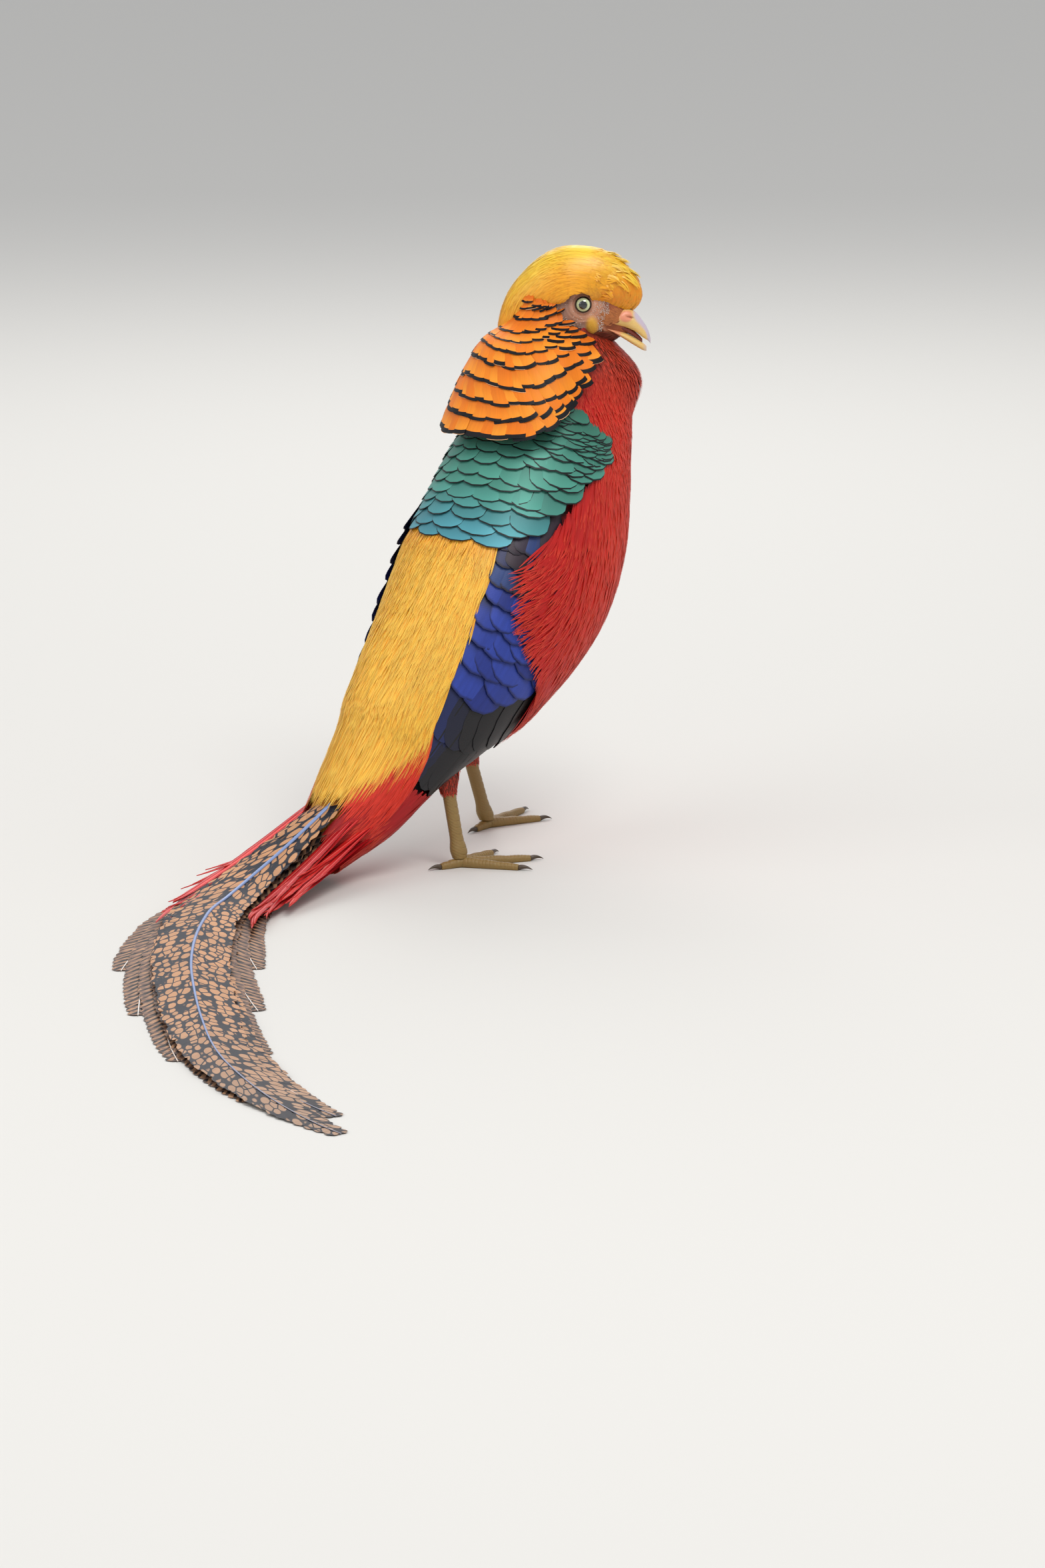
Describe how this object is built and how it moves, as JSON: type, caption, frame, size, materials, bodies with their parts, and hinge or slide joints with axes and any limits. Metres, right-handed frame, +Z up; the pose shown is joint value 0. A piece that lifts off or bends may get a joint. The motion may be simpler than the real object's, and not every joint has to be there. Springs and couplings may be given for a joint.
{
  "type": "golden pheasant",
  "caption": "Golden pheasant cock standing upright, head turned to its right, crest and barred cape closed, long spotted tail laid in a curve along the floor.",
  "frame": {"origin": "on the floor, under the middle of the whole bird's box, tail included", "axes": "+X the way the breast faces, -Y the bird's right, +Z up"},
  "size_m": [0.628, 0.5316, 0.3875],
  "materials": {
    "plumage_red": "silky, long body feathers",
    "plumage_gold": "silky, hair-like locks",
    "plumage_crest": "glossy, hair-like locks",
    "plumage_cape": "smooth, square-ended feathers with dark bars",
    "plumage_green": "metallic sheen, scale feathers with black rims",
    "plumage_blue": "metallic sheen, blue coverts and black-brown quills",
    "plumage_tail": "buff spots in a blue-black net, satin",
    "plumage_scarlet": "satin, pale shafts",
    "skin_face": "bare skin with fine stubble",
    "horn_bill": "polished horn",
    "horn_leg": "scuted horn, satin",
    "horn_claw": "dark horn, satin",
    "eye": "wet, glossy"
  },
  "bodies": {
    "root": {"bill_lower": "horn_bill", "bill_upper": "horn_bill", "cape": "plumage_cape", "claw_left_1": "horn_claw", "claw_left_2": "horn_claw", "claw_left_3": "horn_claw", "claw_left_4": "horn_claw", "claw_right_1": "horn_claw", "claw_right_2": "horn_claw", "claw_right_3": "horn_claw", "claw_right_4": "horn_claw", "crest": "plumage_crest", "eye_left": "eye", "eye_right": "eye", "foot_left": "horn_leg", "foot_right": "horn_leg", "head": "skin_face", "mantle": "plumage_green", "neck": "plumage_red", "rump": "plumage_gold", "tail": "plumage_tail", "tail_coverts": "plumage_scarlet", "tarsus_left": "horn_leg", "tarsus_right": "horn_leg", "thigh_left": "plumage_red", "thigh_right": "plumage_red", "torso": "plumage_red", "wing_left": "plumage_blue", "wing_right": "plumage_blue"}
  },
  "joints": []
}
